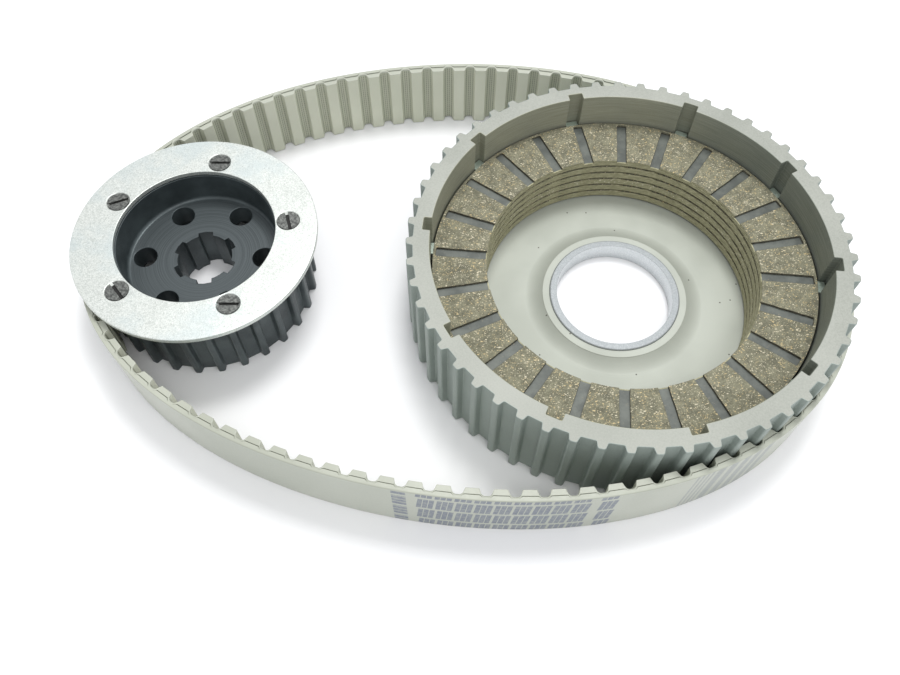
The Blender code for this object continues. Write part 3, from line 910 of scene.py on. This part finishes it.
class BeltPath:
    """The belt's pitch line, by distance along it."""

    def __init__(self):
        low, high = SLACK_RANGE
        for _ in range(LENGTH_TRIALS):
            slack = (low + high) / 2
            if distances(pitch_line(slack))[-1] < BELT_TEETH * PITCH:
                low = slack
            else:
                high = slack
        line = pitch_line((low + high) / 2)
        self.length = BELT_TEETH * PITCH
        self.line = np.concatenate([line[-1 - OVERLAP : -1], line, line[1 : 1 + OVERLAP]])
        along = distances(self.line)
        self.along = along - along[OVERLAP]

    def at(self, distance, outward):
        """Points this far along, moved off the line to the outside."""
        distance = np.asarray(distance, float) % self.length
        middle = self._on_line(distance)
        way = self._on_line(distance + WAY_REACH) - self._on_line(distance - WAY_REACH)
        way /= np.linalg.norm(way, axis=1)[:, None]
        normal = np.stack([way[:, 1], -way[:, 0]], axis=1)
        return middle + normal * np.asarray(outward, float).reshape(-1, 1)

    def _on_line(self, distance):
        x = np.interp(distance, self.along, self.line[:, 0])
        y = np.interp(distance, self.along, self.line[:, 1])
        return np.stack([x, y], axis=1)

    def pulley_tooth_angle(self):
        """Where a drive pulley tooth stands so that it sits midway between two belt teeth."""
        gaps = self.at(np.arange(BELT_TEETH) * PITCH, np.zeros(BELT_TEETH)) - (DRIVE_AXIS - BASKET_AXIS)
        nearest = gaps[np.linalg.norm(gaps, axis=1).argmin()]
        return math.degrees(math.atan2(nearest[1], nearest[0]))


# ---- Belt ----

BELT_EDGE = 0.45
ROOT_DROP = PITCH_LINE_DROP - FIT_GAP
BACK_RISE = BELT_BACK - ROOT_DROP
BELT_TIP_ROUND = 0.4
BELT_ROOT_ROUND = 1.5
TOOTH_EDGE = 0.15
GAP_EDGE = 0.9
FULL_TOOTH = 0.5  # the share of a tooth's height from which its edges are a whole tooth's
TOOTH_STEP = 0.3  # the teeth's cut ends lie this far below the back's
CORD_LAYER = ((0.12, 0.0), (0.1, 0.9), (-0.22, 0.9), (-0.26, TOOTH_STEP))  # (towards the back, down)
CROWDED = 0.02  # between the same rows at a gap, where there is no cut to show
EDGES, INSIDE, BACK = range(3)


def tooth_profile():
    """(distance from the gap's middle, drop below the pitch line) over one pitch, with round corners."""
    tip_drop = ROOT_DROP + BELT_TOOTH_HEIGHT
    middle = PITCH / 2
    corners = [
        ((0.0, ROOT_DROP), 0.0),
        ((middle - BELT_TOOTH_ROOT / 2, ROOT_DROP), BELT_ROOT_ROUND),
        ((middle - BELT_TOOTH_TIP / 2, tip_drop), BELT_TIP_ROUND),
        ((middle, tip_drop), 0.0),
        ((middle + BELT_TOOTH_TIP / 2, tip_drop), BELT_TIP_ROUND),
        ((middle + BELT_TOOTH_ROOT / 2, ROOT_DROP), BELT_ROOT_ROUND),
        ((PITCH, ROOT_DROP), 0.0),
        ((middle, -PITCH), 0.0),
    ]
    return rounded(corners)[:-2]


def belt_sections():
    """(distances, drops, shares of a tooth) of the belt's cross sections, all the way round."""
    profile = tooth_profile()
    steps, drops = profile[:, 0], profile[:, 1]
    along = np.concatenate([k * PITCH + steps for k in range(BELT_TEETH)])
    drop = np.tile(drops, BELT_TEETH)
    share = np.clip((drop - ROOT_DROP) / (FULL_TOOTH * BELT_TOOTH_HEIGHT), 0.0, 1.0)
    return along, drop, share


def belt_rows(drop, share):
    """The belt's skin as (outward, height, look) rows across its section, once round the section."""
    flat = np.zeros_like(drop)
    soft = GAP_EDGE + (TOOTH_EDGE - GAP_EDGE) * share
    rows = []
    for inwards, down in reversed(edge_steps(BELT_EDGE)):
        rows.append((flat + BACK_RISE - inwards, flat + BELT_WIDTH - down, EDGES))
    for k, (reach, dip) in enumerate(CORD_LAYER):
        at_gap = GAP_EDGE + CROWDED * (len(CORD_LAYER) - k)
        rows.append((at_gap + (reach - at_gap) * share - ROOT_DROP, BELT_WIDTH - dip * share, EDGES))
    for inwards, down in edge_steps(1.0):
        rows.append((soft * inwards - drop, BELT_WIDTH - TOOTH_STEP * share - soft * down, EDGES))
    rows[-1] = (*rows[-1][:2], INSIDE)
    for inwards, down in reversed(edge_steps(1.0)):
        rows.append((soft * inwards - drop, soft * down, EDGES))
    for inwards, down in edge_steps(BELT_EDGE):
        rows.append((flat + BACK_RISE - inwards, flat + down, EDGES))
    rows[-1] = (*rows[-1][:2], BACK)
    return rows


def make_belt(path):
    along, drop, share = belt_sections()
    shape = bmesh.new()
    layers = {name: shape.loops.layers.float.new(name) for name in ("along", "gap_across", "height")}
    rows = []
    for outward, height, look in belt_rows(drop, share):
        points = np.column_stack([path.at(along, outward), height])
        rows.append(([shape.verts.new(point) for point in points], look))
    off_middle = np.abs((along + PITCH / 2) % PITCH - PITCH / 2)
    ends = np.append(along[1:], BELT_TEETH * PITCH)
    for k, (verts, look) in enumerate(rows):
        next_verts = rows[(k + 1) % len(rows)][0]
        for i in range(len(along)):
            j = (i + 1) % len(along)
            face = shape.faces.new((verts[i], verts[j], next_verts[j], next_verts[i]))
            face.material_index = look
            for loop in face.loops:
                at_start = loop.vert in (verts[i], next_verts[i])
                loop[layers["along"]] = along[i] if at_start else ends[i]
                loop[layers["gap_across"]] = off_middle[i if at_start else j]
                loop[layers["height"]] = loop.vert.co.z
    looks = [belt_edge_look(), belt_teeth_look(), belt_back_look()]
    piece("timing_belt_skin", shape, looks, "belt", ["timing_belt"], BASKET_AXIS)


# ---- Basket and sleeve ----

RIM_EDGE = 0.25
FOOT_EDGE = 0.7
BORE_EDGE = 0.06
SLEEVE_EDGE = 0.15
SLEEVE_SHOULDER = 0.7
FILLET_STEPS = 16


def boss_profile():
    """From the floor inwards: up the fillet at the boss's foot, over the boss and down its bore."""
    shares = np.linspace(1.0, 0.0, FILLET_STEPS)
    rise = BOSS_TOP - BOSS_LIP - BASKET_FLOOR
    fillet_heights = BASKET_FLOOR + rise * (1.0 - shares) ** FILLET_CURVE
    fillet = list(zip(BOSS_RADIUS + FILLET_REACH * shares, fillet_heights))
    over = [(BOSS_RADIUS - inwards, BOSS_TOP - down) for inwards, down in reversed(edge_steps(BOSS_LIP))]
    bore = [(BOSS_BORE + inwards, BOSS_TOP - down) for inwards, down in edge_steps(BORE_EDGE)]
    foot = [(BOSS_BORE + inwards, down) for inwards, down in reversed(edge_steps(BORE_EDGE))]
    return fillet + over[1:] + bore + foot


def make_basket():
    face, flank, inner, floor, back = range(5)
    shape = bmesh.new()
    teeth = toothed_outline(BASKET_TEETH, BASKET_TOOTH_ANGLE)
    foot, rim = side(shape, teeth, 0.0, BASKET_HEIGHT, FOOT_EDGE, RIM_EDGE, flank)
    slots = tabbed_outline(
        BASKET_BORE_WALL, SLOT_REACH, SLOT_WIDTH, SLOT_ANGLE, SLOT_COUNT, SLOT_ROUNDS, SLOT_STEPS
    )
    low, high = side(shape, slots, BASKET_FLOOR, BASKET_HEIGHT, NO_EDGE, RIM_EDGE, inner, hole=True)
    cap(shape, [rim, high], face)
    floor_edge, bore_foot = lathe(shape, boss_profile(), floor)
    cap(shape, [low, floor_edge], floor)
    cap(shape, [foot, bore_foot], back)
    makers = (basket_face_look, basket_flank_look, basket_wall_look, basket_floor_look, basket_back_look)
    looks = [make() for make in makers]
    piece("clutch_basket_body", shape, looks, "basket", ["clutch_basket"], BASKET_AXIS)


def make_sleeve():
    """The ring, its bore ground brighter than its faces."""
    shape = bmesh.new()
    corners = [
        ((SLEEVE_BORE, 0.0), SLEEVE_EDGE),
        ((SLEEVE_OUTER, 0.0), SLEEVE_EDGE),
        ((SLEEVE_OUTER, SLEEVE_HEIGHT), SLEEVE_SHOULDER),
        ((SLEEVE_BORE, SLEEVE_HEIGHT), SLEEVE_EDGE),
    ]
    ring(shape, rounded(corners))
    paint_bore(shape, SLEEVE_BORE + SLEEVE_EDGE / 2, 1)
    looks = [
        sleeve_look("bearing_face", tone(148, 153, 155), tone(174, 178, 179), 0.5, 0.52, 0.66),
        sleeve_look("bearing_bore", tone(196, 201, 203), tone(224, 227, 228), 0.8, 0.28, 0.42),
    ]
    piece("bearing_sleeve_ring", shape, looks, "basket", ["bearing_sleeve"], BASKET_AXIS)


# ---- Friction plates ----

CORE_EDGE = 0.12
BARE_FROM = LINING_OUTER - 0.6  # the core's tabs are bare metal from this radius
PAD_EDGE = 0.1
CORE_THICKNESS = PLATE_THICKNESS - 2 * (LINING_THICKNESS + BOND_GAP)
BAND_OUTER = LINING_INNER + 0.9
BAND_ROUNDS = (0.15, 0.12)
BAND_ROUND_STEPS = 2
BAND_DROP = 0.03
SEAM_HEIGHT = 0.75
UPPER_PAD_INNER = LINING_INNER + 0.05
LOWER_PAD_INNER = BAND_OUTER + 0.2
DUST = 0.9
DUSTY_PLATE = 3


def core_mesh():
    """The core ring, its tabs in bare metal beyond the lining. It counts from its lower face."""
    shape = bmesh.new()
    tabs = tabbed_outline(LINING_OUTER, TAB_REACH, TAB_WIDTH, SLOT_ANGLE, SLOT_COUNT, TAB_ROUNDS, TAB_STEPS)
    low, high = side(shape, tabs, 0.0, CORE_THICKNESS, CORE_EDGE, CORE_EDGE, 1)
    rim_low, rim_high = (row(shape, circle(BARE_FROM), z) for z in (0.0, CORE_THICKNESS))
    bore = circle(CORE_INNER)
    bore_low, bore_high = side(shape, bore, 0.0, CORE_THICKNESS, CORE_EDGE, CORE_EDGE, 0, hole=True)
    cap(shape, [low, rim_low], 1)
    cap(shape, [high, rim_high], 1)
    cap(shape, [rim_low, bore_low], 0)
    cap(shape, [rim_high, bore_high], 0)
    return shape


def lining_mesh(inner, low, high, low_edge, high_edge, bore_look):
    """A lining between two heights that count from the face bonded to the core."""
    shape = bmesh.new()
    rim = circle(LINING_OUTER)
    # Rim and groove sides take look 1, the painted shade of the lining sides.
    rim_low, rim_high = side(shape, rim, low, high, low_edge, high_edge, 1)
    bore = lining_bore_outline(inner, random.Random(RAGGED_SEED))
    bore_low, bore_high = side(shape, bore, low, high, low_edge, high_edge, 1, hole=True)
    cap(shape, [rim_high, bore_high], 0)
    cap(shape, [rim_low, bore_low], 0)
    paint_bore(shape, inner + RAGGED, bore_look)
    return shape


def band_mesh(reach):
    """The khaki band of resin over a plate's cut edge, from above its lower lining's face to a height."""
    shape = bmesh.new()
    corners = [
        ((LINING_INNER, SEAM_HEIGHT), BAND_ROUNDS[0]),
        ((BAND_OUTER, SEAM_HEIGHT), 0.0),
        ((BAND_OUTER, reach), 0.0),
        ((LINING_INNER, reach), BAND_ROUNDS[1]),
    ]
    ring(shape, rounded(corners, BAND_ROUND_STEPS))
    return shape


def make_plates():
    metal = [core_look(), tab_look()]
    fibre = lining_look()
    edge = lining_edge_look()
    shaded_side = lining_side_shade_look()
    dusty = lining_edge_look("lining_bore_edge_dusty", DUST)
    for number in range(1, PLATE_COUNT + 1):
        bottom = BASKET_FLOOR + FIT_GAP + (number - 1) * PLATE_PITCH
        core_bottom = bottom + LINING_THICKNESS + BOND_GAP
        cut_edge = dusty if number == DUSTY_PLATE else edge
        body = f"plate_{number}"
        name = f"friction_plate_{number}"
        core = [f"{name}_core"]
        piece(f"{name}_core_ring", core_mesh(), metal, body, core, BASKET_AXIS, core_bottom)
        upper = lining_mesh(UPPER_PAD_INNER, 0.0, LINING_THICKNESS, NO_EDGE, PAD_EDGE, 2)
        # The lower lining's bore takes look 1 too, so the seam under each plate's band is painted shade.
        lower = lining_mesh(LOWER_PAD_INNER, -LINING_THICKNESS, 0.0, PAD_EDGE, NO_EDGE, 1)
        upper_height = bottom + PLATE_THICKNESS - LINING_THICKNESS
        lower_height = bottom + LINING_THICKNESS
        for word, shape, height in (("upper", upper, upper_height), ("lower", lower, lower_height)):
            replaced = [f"{name}_lining_{word}"]
            looks = [fibre, shaded_side, cut_edge]
            piece(f"{name}_pads_{word}", shape, looks, body, replaced, BASKET_AXIS, height)
        covered = LINING_THICKNESS + BOND_GAP if number == PLATE_COUNT else 0.0
        band = band_mesh(PLATE_THICKNESS - covered - BAND_DROP)
        piece(f"{name}_bore_band", band, [cut_edge], body, [], BASKET_AXIS, bottom)


# ---- Drive pulley, flange and screws ----

PULLEY_EDGE = 0.3
SPLINE_EDGE = 0.1
HOLE_SEGMENTS = 40
HOLE_BOTTOM = FLANGE_TOP - SCREW_LENGTH - 1.0
CUP_STEPS = 9
FLANGE_SEGMENTS = 256
FLANGE_EDGE = 0.15
FLANGE_RIM_EDGE = 0.4
FLANGE_MOUTH_EDGE = 0.25
SINK_EDGE = 0.1
SINK_FLARE = 0.05
SCREW_SEGMENTS = 48
SCREW_END_EDGE = 0.4
HEAD_STEPS = 24
HEAD_GAP = 0.12
HEAD_EDGE = 0.1
HEAD_SUNK = 0.05  # how far each half of a screw's head goes down into the slot's floor


def screw_place(number):
    return polar(SCREW_CIRCLE, SCREW_ANGLE + 360.0 * (number - 1) / SCREW_COUNT)


def make_drive_pulley(tooth_angle):
    black, web = range(2)
    shape = bmesh.new()
    teeth = toothed_outline(DRIVE_TEETH, tooth_angle)
    foot, rim = side(shape, teeth, 0.0, DRIVE_HEIGHT, PULLEY_EDGE, PULLEY_EDGE, black)
    fillet = [
        (CUP_RADIUS - CUP_FILLET * (1.0 - math.cos(a)), WEB_TOP + CUP_FILLET * (1.0 - math.sin(a)))
        for a in np.linspace(0.0, math.pi / 2, CUP_STEPS)
    ]
    lip = [(CUP_RADIUS + inwards, DRIVE_HEIGHT - down) for inwards, down in edge_steps(PULLEY_EDGE)]
    cup_rim, cup_floor = lathe(shape, lip + fillet, black)
    threads = []
    for number in range(1, SCREW_COUNT + 1):
        hole = circle(SCREW_SHANK + FIT_GAP, HOLE_SEGMENTS, screw_place(number))
        bottom, top = side(shape, hole, HOLE_BOTTOM, DRIVE_HEIGHT, NO_EDGE, NO_EDGE, black, hole=True)
        cap(shape, [bottom], black)
        threads.append(top)
    cap(shape, [rim, cup_rim, *threads], black)
    uppers = []
    lowers = []
    for k in range(WEB_HOLE_COUNT):
        place = polar(WEB_HOLE_CIRCLE, 360.0 * k / WEB_HOLE_COUNT)
        hole = circle(WEB_HOLE_RADIUS, HOLE_SEGMENTS, place)
        low, high = side(shape, hole, WEB_BOTTOM, WEB_TOP, PULLEY_EDGE, PULLEY_EDGE, black, hole=True)
        uppers.append(high)
        lowers.append(low)
    lands = (SPLINE_MINOR, SPLINE_MAJOR, SPLINE_WIDTH, SPLINE_ANGLE, SPLINE_COUNT)
    spline = tabbed_outline(*lands, SPLINE_ROUNDS, SPLINE_STEPS, crown=True)
    spline_low, spline_high = side(shape, spline, 0.0, WEB_TOP, SPLINE_EDGE, SPLINE_EDGE, black, hole=True)
    cap(shape, [cup_floor, spline_high, *uppers], web)
    ends = []
    for radius, flare in ((REAR_RECESS_RADIUS, PULLEY_EDGE), (HUB_RADIUS, -PULLEY_EDGE)):
        profile = [(radius, WEB_BOTTOM), (radius, PULLEY_EDGE), (radius + flare, 0.0)]
        ends.append(lathe(shape, profile, black))
    (recess_top, recess_mouth), (hub_top, hub_foot) = ends
    cap(shape, [recess_top, hub_top, *lowers], web)
    cap(shape, [foot, recess_mouth], black)
    cap(shape, [hub_foot, spline_low], black)
    looks = [pulley_look(), web_look()]
    piece("drive_pulley_body", shape, looks, "drive", ["drive_pulley"], DRIVE_AXIS)


def make_flange():
    shape = bmesh.new()
    heights = (FLANGE_BOTTOM, FLANGE_TOP, FLANGE_EDGE)
    outer = circle(FLANGE_OUTER, FLANGE_SEGMENTS)
    outer_low, outer_high = side(shape, outer, *heights, FLANGE_RIM_EDGE)
    inner = circle(FLANGE_INNER)
    inner_low, inner_high = side(shape, inner, *heights, FLANGE_MOUTH_EDGE, hole=True)
    tops = []
    bottoms = []
    wide = SCREW_HEAD + FIT_GAP
    levels = (
        (wide - FLANGE_THICKNESS, FLANGE_BOTTOM),
        (wide - SINK_EDGE, FLANGE_TOP - SINK_EDGE),
        (wide + SINK_FLARE, FLANGE_TOP),
    )
    for number in range(1, SCREW_COUNT + 1):
        rows = []
        for radius, height in levels:
            rows.append(row(shape, circle(radius, HOLE_SEGMENTS, screw_place(number)), height))
        bottom, top = stack(shape, rows)
        bottoms.append(bottom)
        tops.append(top)
    cap(shape, [outer_high, inner_high, *tops])
    cap(shape, [outer_low, inner_low, *bottoms])
    looks = [flange_look()]
    piece("pulley_flange_ring", shape, looks, "drive", ["pulley_flange"], DRIVE_AXIS)


def half_disc(radius, side_sign):
    """The outline of what the slot leaves of a disc on one side."""
    start = math.degrees(math.asin(SCREW_SLOT_WIDTH / 2 / radius))
    points = np.array(arc(radius, start, 180.0 - start, HEAD_STEPS)) * (1.0, side_sign)
    return points if side_sign > 0 else points[::-1]


def head_half(shape, side_sign):
    """One half of a slotted head: a D-shaped top, its conical side with the slot's wall, and its foot."""
    top_outline = half_disc(SCREW_HEAD - HEAD_GAP, side_sign)
    foot_outline = half_disc(SCREW_HEAD - HEAD_GAP - SCREW_SLOT_DEPTH, side_sign)
    top = row(shape, offset(top_outline, -HEAD_EDGE), FLANGE_TOP)
    upper = row(shape, top_outline, FLANGE_TOP - HEAD_EDGE)
    foot = row(shape, foot_outline, FLANGE_TOP - SCREW_SLOT_DEPTH - HEAD_SUNK)
    stack(shape, [foot, upper, top])
    cap(shape, [top])
    cap(shape, [foot], 1)


def screw_mesh():
    """A countersunk screw along its own axis, its slot along X."""
    shape = bmesh.new()
    depth = SCREW_HEAD - SCREW_SHANK
    slot_floor = SCREW_HEAD - SCREW_SLOT_DEPTH
    profile = [
        (slot_floor, FLANGE_TOP - SCREW_SLOT_DEPTH),
        (SCREW_SHANK, FLANGE_TOP - depth),
        (SCREW_SHANK, FLANGE_TOP - SCREW_LENGTH + SCREW_END_EDGE),
        (SCREW_SHANK - SCREW_END_EDGE, FLANGE_TOP - SCREW_LENGTH),
    ]
    first, last = lathe(shape, profile, segments=SCREW_SEGMENTS)
    cap(shape, [first], 1)
    cap(shape, [last])
    head_half(shape, 1.0)
    head_half(shape, -1.0)
    return shape


def make_screws():
    looks = [screw_look(), screw_slot_look()]
    for number in range(1, SCREW_COUNT + 1):
        axis = DRIVE_AXIS + screw_place(number)
        node = f"flange_screw_{number}"
        turn = SCREW_SLOT_ANGLES[number - 1]
        piece(f"{node}_body", screw_mesh(), looks, "drive", [node], axis, turn=turn)


# ---- Studio ----

CAMERA_FROM_BASKET = (-69.36, -190.28, 306.31)
CAMERA_DOWN = 60.514
CAMERA_ROLL = 0.158
CAMERA_LENS = 33.466
CLIP_START = 0.01
FLOOR_REACH = 3.0
FLOOR_CELLS = 8
FLOOR_GAP = 0.0002
SKY_COLOUR = (0.97, 0.98, 1.0, 1.0)
SKY_STRENGTH = 0.88
# Each light's place in metres, its size and its power
KEY_LIGHT = ((0.12, 0.38, 1.25), 0.35, 9.5)
FILL_LIGHT = ((0.2, -0.42, 0.95), 0.4, 2.6)


def make_camera():
    camera = bpy.data.cameras.new("camera")
    camera.lens = CAMERA_LENS
    camera.clip_start = CLIP_START
    x, y, z = CAMERA_FROM_BASKET
    obj = put("camera", camera, ((BASKET_AXIS[0] + x) * MM, (BASKET_AXIS[1] + y) * MM, z * MM))
    obj.rotation_mode = "ZXY"
    obj.rotation_euler = (math.radians(90.0 - CAMERA_DOWN), 0.0, math.radians(CAMERA_ROLL))
    bpy.context.scene.camera = obj


def make_floor():
    look = Look("studio_floor")
    look.colour(tone(234, 234, 235))
    look.gloss(look.noise(3.0), 0.85, 0.95, 0.0, 1.0)
    shape = bmesh.new()
    bmesh.ops.create_grid(shape, x_segments=FLOOR_CELLS, y_segments=FLOOR_CELLS, size=FLOOR_REACH)
    mesh = bpy.data.meshes.new("studio_floor")
    shape.to_mesh(mesh)
    shape.free()
    mesh.materials.append(look.material)
    put("studio_floor", mesh, (0.0, 0.0, CAD_BOX[0][2] - FLOOR_GAP))


def make_light(name, location, size, power):
    """A square light that faces the middle of the scene."""
    light = bpy.data.lights.new(name, "AREA")
    light.shape = "SQUARE"
    light.size = size
    light.energy = power
    put(name, light, location, (-Vector(location)).to_track_quat("-Z", "Y").to_euler())


def make_studio():
    world = bpy.data.worlds.new("studio_sky")
    world.use_nodes = True
    background = world.node_tree.nodes["Background"]
    background.inputs["Color"].default_value = SKY_COLOUR
    background.inputs["Strength"].default_value = SKY_STRENGTH
    bpy.context.scene.world = world
    make_light("key_light", *KEY_LIGHT)
    make_light("fill_light", *FILL_LIGHT)
    bpy.context.scene.view_settings.view_transform = "Standard"


# ---- Assembly ----


def main():
    make_camera()
    make_floor()
    make_studio()
    path = BeltPath()
    make_belt(path)
    make_basket()
    make_sleeve()
    make_plates()
    make_drive_pulley(path.pulley_tooth_angle())
    make_flange()
    make_screws()


main()
